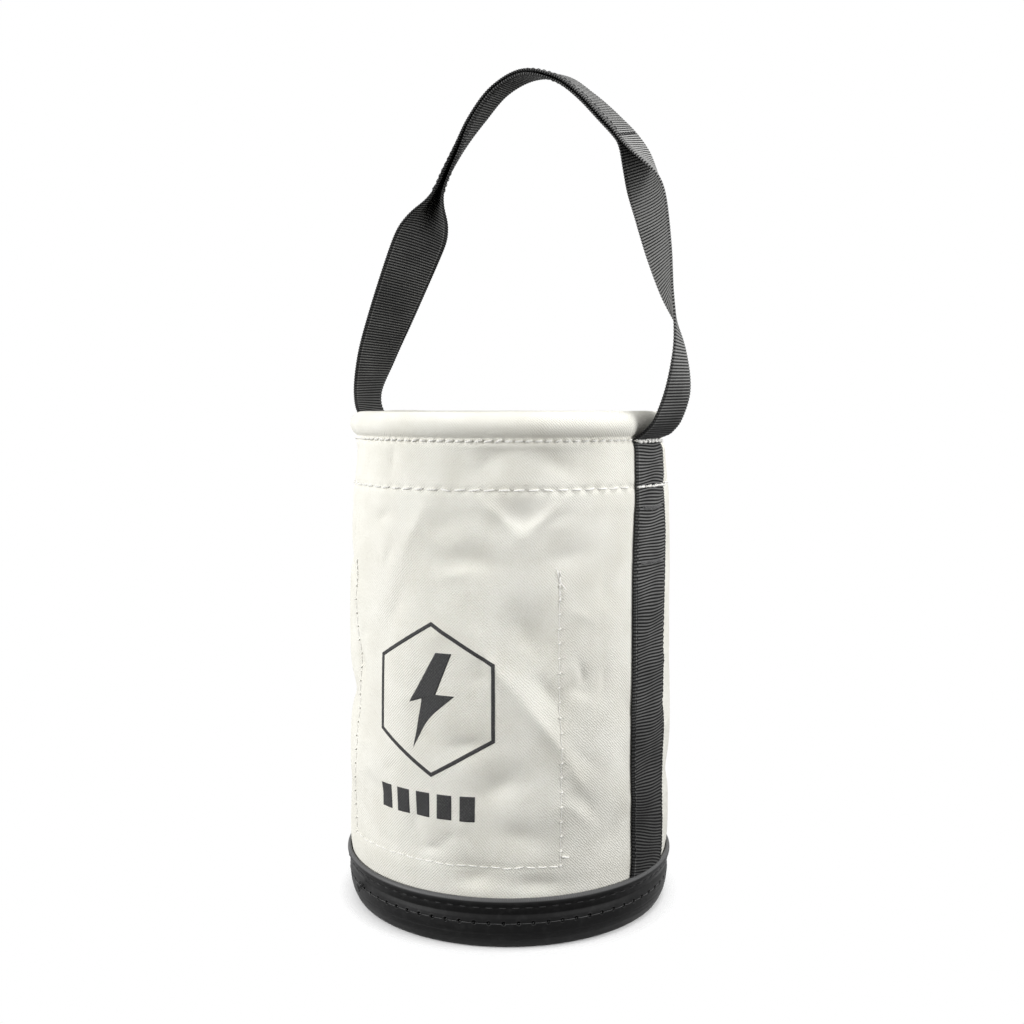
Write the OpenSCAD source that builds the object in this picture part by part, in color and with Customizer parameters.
// Tool bucket organizer: a canvas tube on a moulded cup, carried by one length of webbing.
// The webbing is sewn up both sides of the tube and folded into a grip at the top.
// Origin: centre of the flat underside. +Z is up and +X points at the right strap.

/* [Bucket] */
// Height of the bucket from the floor to the top of the rim
bucket_h = 305; // [295:1:315]
// Radius of the canvas tube at its widest
belly_r = 102; // [101.5:0.1:102.5]
// Thickness of the canvas
canvas_t = 1.1; // [0.8:0.1:1.2]
// Diameter of the cord inside the rolled rim
core_d = 12.3; // [11.5:0.1:12.5]
// Depth of the hem that is turned down inside the rim
hem_depth = 53; // [40:1:60]

/* [Moulded base] */
// Height of the cup's wall
cup_h = 30; // [29:0.5:33]
// Thickness of the cup's floor
cup_floor = 3; // [2:0.5:4]

/* [Inner pocket] */
// Height of the pocket's lower edge
pocket_z = 46; // [40:1:50]
// Height of the pocket's panel
pocket_h = 166; // [120:1:180]
// Direction of the pocket's middle, in degrees from +X
pocket_mid = -81; // [-90:1:-75]
// Angle between the pocket's two side seams
pocket_span = 84; // [70:1:90]
// How far the pocket's panel stands off the wall at its middle
pocket_gape = 9; // [8:0.5:12]

/* [Webbing] */
// Width of the webbing
web_w = 38.1; // [36:0.1:40]
// Thickness of the webbing
web_t = 1.8; // [1.4:0.1:1.9]

/* [Thread] */
// Diameter of the thick white thread
white_d = 1.2; // [0.8:0.1:1.4]
// Diameter of the thinner white thread
fine_d = 0.8; // [0.6:0.1:1]
// Diameter of the thin black thread
black_d = 0.7; // [0.5:0.1:0.9]

/* [Hidden] */

$fn = 96;

canvas_colour = [0.90, 0.89, 0.84];
black_colour = [0.13, 0.13, 0.14];
white_colour = [0.95, 0.95, 0.92];
grey_colour = [0.45, 0.45, 0.46];

// Rolled rim: the canvas wraps the cord, and the wall narrows to a neck under it
roll_r = core_d / 2 + canvas_t;
roll_centre_r = belly_r - 7.8;
roll_centre_z = bucket_h - roll_r;
neck_r = roll_centre_r + 3.7;
wall_top_z = roll_centre_z - core_d / 2;
rim_row_z = roll_centre_z - roll_r - 2.2;
hem_bottom_z = bucket_h - hem_depth;
hem_row_z = hem_bottom_z + 8.3;

// Outside of the canvas tube: [height, radius], straight between these heights
foot_z = cup_floor + 2.5;
foot_r = belly_r - 3.1;
wall_heights = [foot_z, 24, 60, 155, 250, rim_row_z, wall_top_z];
wall_radii = [foot_r, foot_r, belly_r - 1, belly_r, belly_r - 1.6, neck_r, neck_r];
wall_shape = [for (i = [0:len(wall_heights) - 1]) [wall_heights[i], wall_radii[i]]];
function wall_out(z) = lookup(z, wall_shape);
function wall_in(z) = wall_out(z) - canvas_t;

// Heights between two limits at which the tube's profile bends, with the limits themselves
function bends(z0, z1) = concat([z0], [for (z = wall_heights) if (z > z0 + 0.5 && z < z1 - 0.5) z], [z1]);

// Side seam: the tube's two edges lap under the left strap, and the lap runs up under the hem
seam_deg = 180;
lap_w = 19;
lap_in = 2 * canvas_t + 0.1;
lap_sunk = 0.4;
lap_top_z = hem_bottom_z + 4;

// Cup: the wall is pinched where it is sewn to the canvas, and ends in a lip
cup_foot_r = belly_r - 6.2;
cup_bulge_r = belly_r - 0.1;
cup_pinch_r = belly_r - 0.7;
lip_r = belly_r + 1.6;
lip_in_r = foot_r + 2.3;
upper_row_z = 24.7;
lower_row_z = 15.5;

// Straps
strap_bottom_z = 22.5;
strap_top_z = rim_row_z + 2.2;
function arc_deg(length) = length / belly_r * 180 / PI;
strap_angle = arc_deg(web_w);

// Pocket seams
seam_a = pocket_mid - pocket_span / 2;
seam_b = pocket_mid + pocket_span / 2;
pocket_top = pocket_z + pocket_h;
seam_flange = 6;
panel_edge_r = wall_in(pocket_z) - canvas_t / 2;
panel_half = panel_edge_r * sin(pocket_span / 2);
panel_rise = panel_edge_r * (1 - cos(pocket_span / 2)) - pocket_gape;
panel_r = (panel_half * panel_half + panel_rise * panel_rise) / (2 * panel_rise);
panel_back = panel_edge_r - pocket_gape - panel_r;

// Each row of thread: [pitch, length of a stitch, thread's diameter]
rim_thread = [5.8, 5, white_d];
hem_thread = [8.7, 6.2, white_d];
pocket_thread = [7, 4, fine_d];
pocket_hem_thread = [5.3, 3.6, fine_d];
seam_thread = [8, 5, fine_d];
upper_thread = [7.6, 4.6, black_d];
lower_thread = [8.6, 7, black_d];
strap_thread = [5, 3.4, black_d];
rim_lean = 12;
hem_lean = 3;
upright = 90;
edge_inset = 2.5;
pocket_inset = 4;
tack_heights = [215, 248];
tack_rise = 0.5;
knot_deg = -121;

// Route of the free webbing, from the right side over the top to the left side. Each row is
// [x, height above the rim, turn of the web about its length, fold of each half], in mm and degrees.
route = [
    [103.2, -14, 5, 0], [113, -4, 8, 0], [121, 13, 11, 0], [121.5, 36, 21, 0],
    [118, 55, 34, 0], [112, 75, 48, 0], [107, 97, 60, 2], [100, 128, 68, 20],
    [94, 148, 65, 50], [87, 166, 58, 88], [76, 181, 62, 89], [60, 197, 72, 89],
    [40, 210, 82, 89], [16, 216, 89, 89], [-7, 209, 90, 89], [-25, 193, 86, 89],
    [-38, 177, 72, 89], [-50, 160, 57, 89], [-58, 147, 50, 84], [-67, 130, 39, 45],
    [-80, 104, 25, 10], [-100, 63, 8, 0], [-112, 36, 0, 0], [-119, 11, -4, 0],
    [-113, -4, -5, 0], [-103.2, -14, -5, 0]
];
right_end = 9;
left_end = 18;
crease_r = web_t / 2 + 0.15;
rings_per_row = 3;
facets_per_half = 4;

// A point of the route at u, counted in rows, on a smooth curve through all the rows
function row(i) = route[min(max(i, 0), len(route) - 1)];
function curve(a, b, c, d, t) =
    (2 * b + (c - a) * t + (2 * a - 5 * b + 4 * c - d) * t * t + (3 * b - a - 3 * c + d) * t * t * t) / 2;
function along(u) =
    let (i = min(floor(u), len(route) - 2))
    curve(row(i - 1), row(i), row(i + 1), row(i + 2), u - i);
function unit(v) = v / norm(v);

// Frame of the webbing at u: [centre, length direction, width direction, outer face's normal]
function web_frame(u) =
    let (
        here = along(u),
        ahead = along(min(u + 0.02, len(route) - 1)),
        behind = along(max(u - 0.02, 0)),
        t = unit([ahead[0] - behind[0], 0, ahead[1] - behind[1]]),
        out = [t[2], 0, -t[0]],
        n = cos(here[2]) * out + sin(here[2]) * [0, 1, 0]
    )
    [[here[0], 0, bucket_h + here[1]], t, cross(n, t), n];

// Place of a spot at s across the web and h above its middle layer, folded by f degrees: [across, out]
function folded(s, h, f) =
    let (
        side = s < 0 ? -1 : 1,
        arc = crease_r * f * PI / 180,
        far = max(abs(s) - arc, 0),
        a = min(abs(s) / crease_r * 180 / PI, f)
    )
    [
        side * ((crease_r + h) * sin(a) + far * cos(a)),
        (crease_r + h) * cos(a) - crease_r - far * sin(a)
    ];

// How far the folded web is moved outward so that it stays centred on the route
function centring(f) = -folded(web_w / 2, 0, f)[1] / 2;

// The same spot in space at u along the route
function web_spot(u, s, h) =
    let (
        frame = web_frame(u),
        f = min(max(along(u)[3], 0), 89),
        p = folded(s, h, f)
    )
    frame[0] + p[0] * frame[2] + (p[1] + centring(f)) * frame[3];

// A stretch of webbing between two places on the route, as one closed strip
module web_strip(u0, u1) {
    rings = round((u1 - u0) * rings_per_row);
    across = [for (i = [-facets_per_half:facets_per_half]) i / facets_per_half * web_w / 2];
    back = [for (i = [facets_per_half:-1:-facets_per_half]) i / facets_per_half * web_w / 2];
    ring_size = 2 * len(across);
    points = [
        for (k = [0:rings])
            let (u = u0 + (u1 - u0) * k / rings)
            each concat(
                [for (s = across) web_spot(u, s, web_t / 2)],
                [for (s = back) web_spot(u, s, -web_t / 2)]
            )
    ];
    sides = [
        for (k = [0:rings - 1], j = [0:ring_size - 1])
            let (
                a = k * ring_size + j,
                b = k * ring_size + (j + 1) % ring_size
            )
            each [[a, b, b + ring_size], [a, b + ring_size, a + ring_size]]
    ];
    last = rings * ring_size;
    cap = [
        for (j = [0:2 * facets_per_half - 1])
            each [[j, ring_size - 1 - j, ring_size - 2 - j], [j, ring_size - 2 - j, j + 1]]
    ];
    far_cap = [for (f = cap) [f[0] + last, f[2] + last, f[1] + last]];
    polyhedron(points, concat(sides, cap, far_cap));
}

// A shell that follows the tube between two heights, from offset a to offset b outside it
module wall_shell(z0, z1, a, b, centre, angle) {
    heights = bends(z0, z1);
    profile = concat(
        [for (z = heights) [wall_out(z) + a, z]],
        [for (i = [len(heights) - 1:-1:0]) [wall_out(heights[i]) + b, heights[i]]]
    );
    rotate([0, 0, centre - angle / 2])
        rotate_extrude(angle = angle)
            polygon(profile);
}

// One stitch of a thread, lying on the wall at radius r and leaning from level
module wall_stitch(thread, r, angle, z, lean = 0) {
    rotate([0, 0, angle])
        translate([r, 0, z])
            rotate([90 + lean, 0, 0])
                cylinder(h = thread[1], d = thread[2], center = true, $fn = 24);
}

// A full turn of stitches at one height, raised where they cross the straps
module stitch_ring(thread, r, z, lean = 0, strap_lift = 0) {
    count = round(2 * PI * r / thread[0]);
    step = 360 / count;
    for (i = [0:count - 1]) {
        a = (i + 0.5) * step;
        from_strap = min(a, abs(a - 180), 360 - a);
        lift = from_strap < strap_angle / 2 + 1 ? strap_lift : 0;
        wall_stitch(thread, r + lift, a, z, lean);
    }
}

// Upright stitches from one height to another, sunk into or standing off the wall by rise
module stitch_column(thread, angle, z0, z1, rise) {
    for (i = [0:floor((z1 - z0) / thread[0])]) {
        z = z0 + i * thread[0];
        wall_stitch(thread, wall_out(z) + rise, angle, z, upright);
    }
}

module canvas_wall() {
    low = bends(foot_z, hem_bottom_z);
    high = bends(hem_bottom_z, wall_top_z);
    color(canvas_colour) {
        rotate_extrude()
            union() {
                polygon(concat(
                    [for (z = bends(foot_z, wall_top_z)) [wall_out(z), z]],
                    [for (i = [len(high) - 1:-1:0]) [wall_in(high[i]) - canvas_t, high[i]]],
                    [for (i = [len(low) - 1:-1:0]) [wall_in(low[i]), low[i]]]
                ));
                translate([roll_centre_r, roll_centre_z])
                    difference() {
                        circle(r = roll_r);
                        circle(r = core_d / 2);
                    }
            }
        wall_shell(cup_h, lap_top_z, -lap_in, lap_sunk - canvas_t, seam_deg, arc_deg(lap_w));
    }
}

module rim_core() {
    color(canvas_colour)
        rotate_extrude()
            translate([roll_centre_r, roll_centre_z])
                circle(d = core_d);
}

module base_cup() {
    color(black_colour)
        rotate_extrude()
            polygon([
                [0, 0], [cup_foot_r, 0], [cup_foot_r + 2.8, 2.2], [cup_bulge_r - 1.3, 7],
                [cup_bulge_r - 0.3, 11.5], [cup_bulge_r, lower_row_z], [cup_pinch_r, 20.4],
                [lip_r - 0.9, upper_row_z], [lip_r, 27.5], [lip_r, cup_h - 1], [lip_r - 0.7, cup_h],
                [lip_in_r, cup_h], [lip_in_r, strap_bottom_z], [foot_r, 21],
                [foot_r, foot_z + 1], [foot_r - 2, cup_floor], [0, cup_floor]
            ]);
}

module inner_pocket() {
    heights = bends(pocket_z, pocket_top);
    wall_face = [for (z = heights) [wall_in(z), z]];
    slot_half = panel_half - seam_flange;
    color(canvas_colour)
        rotate([0, 0, pocket_mid])
            difference() {
                intersection() {
                    rotate_extrude()
                        polygon(concat([[0, pocket_z]], wall_face, [[0, pocket_top]]));
                    translate([panel_half / 2, -panel_half, pocket_z])
                        cube([belly_r, 2 * panel_half, pocket_h]);
                }
                translate([panel_back, 0, pocket_z - 1])
                    cylinder(r = panel_r - canvas_t / 2, h = pocket_h + 2);
                translate([0, 0, pocket_z + canvas_t])
                    linear_extrude(height = pocket_h)
                        difference() {
                            translate([panel_half / 2, -slot_half])
                                square([belly_r, 2 * slot_half]);
                            translate([panel_back, 0])
                                circle(r = panel_r + canvas_t / 2);
                        }
            }
}

module strap(side) {
    color(black_colour)
        wall_shell(strap_bottom_z, strap_top_z, 0, web_t, side, strap_angle);
}

module right_strap() {
    strap(0);
}

module left_strap() {
    strap(180);
}

module right_leg() {
    color(black_colour)
        web_strip(0, right_end);
}

module grip() {
    color(black_colour)
        web_strip(right_end, left_end);
}

module left_leg() {
    color(black_colour)
        web_strip(left_end, len(route) - 1);
}

module rim_stitches() {
    color(white_colour)
        stitch_ring(rim_thread, neck_r + 0.2, rim_row_z, rim_lean, web_t);
}

module hem_stitches() {
    color(white_colour)
        stitch_ring(hem_thread, wall_out(hem_row_z) + 0.2, hem_row_z, hem_lean, web_t);
}

module pocket_stitches() {
    row_z = pocket_z + pocket_inset;
    count = floor(pocket_span / arc_deg(pocket_thread[0]));
    color(white_colour) {
        for (a = [seam_a, seam_b])
            stitch_column(pocket_thread, a, row_z, pocket_top - pocket_inset, 0.3);
        for (i = [1:count - 1])
            wall_stitch(pocket_thread, wall_out(row_z) + 0.2, seam_a + i * pocket_span / count, row_z);
    }
}

module pocket_hem_stitches() {
    hem_w = 12;
    row_deg = 2 * asin(panel_half / panel_r) - 4;
    count = floor(row_deg * PI / 180 * panel_r / pocket_hem_thread[0]);
    color(white_colour)
        rotate([0, 0, pocket_mid])
            translate([panel_back, 0, 0])
                for (i = [0:count]) {
                    a = (i / count - 0.5) * row_deg;
                    wall_stitch(pocket_hem_thread, panel_r - canvas_t / 2, a, pocket_top - hem_w);
                }
}

module seam_stitches() {
    rise = -lap_in - 0.1;
    color(white_colour)
        for (side = [-1, 1]) {
            a = seam_deg + side * arc_deg(lap_w / 2 - 5.5);
            stitch_column(seam_thread, a, cup_h + 8, hem_bottom_z - 10, rise);
        }
}

module base_upper_stitches() {
    color(black_colour)
        stitch_ring(upper_thread, lip_r - 0.8, upper_row_z);
}

module base_lower_stitches() {
    color(grey_colour)
        stitch_ring(lower_thread, cup_bulge_r + 0.1, lower_row_z);
}

module thread_knot() {
    color(black_colour)
        rotate([0, 0, knot_deg])
            translate([cup_bulge_r + 0.6, 0, lower_row_z]) {
                sphere(d = 2.4);
                translate([0.2, 0, -1.4])
                    rotate([35, 0, 0])
                        cylinder(h = 5, d = black_d, center = true);
            }
}

module strap_stitches(side) {
    half = strap_angle / 2 - arc_deg(edge_inset);
    color(black_colour)
        for (a = [side - half, side + half])
            stitch_column(strap_thread, a, cup_h + 4, hem_row_z - 2, web_t + 0.25);
}

module right_strap_stitches() {
    strap_stitches(0);
}

module left_strap_stitches() {
    strap_stitches(180);
}

module strap_tacks(side) {
    color(grey_colour)
        for (z = tack_heights)
            wall_shell(z - 1, z + 1, web_t, web_t + tack_rise, side, strap_angle * 0.75);
}

module right_strap_tacks() {
    strap_tacks(0);
}

module left_strap_tacks() {
    strap_tacks(180);
}

// A straight stitch between two spots in space
module stitch_between(p, q, d) {
    v = q - p;
    translate((p + q) / 2)
        rotate([0, acos(v[2] / norm(v)), atan2(v[1], v[0])])
            cylinder(h = norm(v), d = d, center = true, $fn = 24);
}

// Thread along the folded edge of the grip, on its upper layer
module grip_stitches() {
    count = 40;
    margin = 0.5;
    color(black_colour)
        for (i = [0:count - 1]) {
            u = right_end + margin + (left_end - right_end - 2 * margin) * i / count;
            stitch_between(
                web_spot(u, web_w / 2 - 3, web_t / 2),
                web_spot(u + 0.13, web_w / 2 - 3, web_t / 2),
                black_d
            );
        }
}

// Thread across one end of the grip, on its upper layer
module grip_tack(u) {
    count = 6;
    reach = web_w / 2 - 6;
    color(black_colour)
        for (i = [0:count - 1])
            stitch_between(
                web_spot(u, 3 + reach * i / count, web_t / 2),
                web_spot(u, 3 + reach * (i + 0.75) / count, web_t / 2),
                black_d
            );
}

module right_grip_tack() {
    grip_tack(right_end + 0.2);
}

module left_grip_tack() {
    grip_tack(left_end - 0.2);
}

canvas_wall();
rim_core();
base_cup();
inner_pocket();
right_strap();
left_strap();
right_leg();
grip();
left_leg();
rim_stitches();
hem_stitches();
pocket_stitches();
pocket_hem_stitches();
seam_stitches();
base_upper_stitches();
base_lower_stitches();
thread_knot();
right_strap_stitches();
left_strap_stitches();
right_strap_tacks();
left_strap_tacks();
grip_stitches();
right_grip_tack();
left_grip_tack();
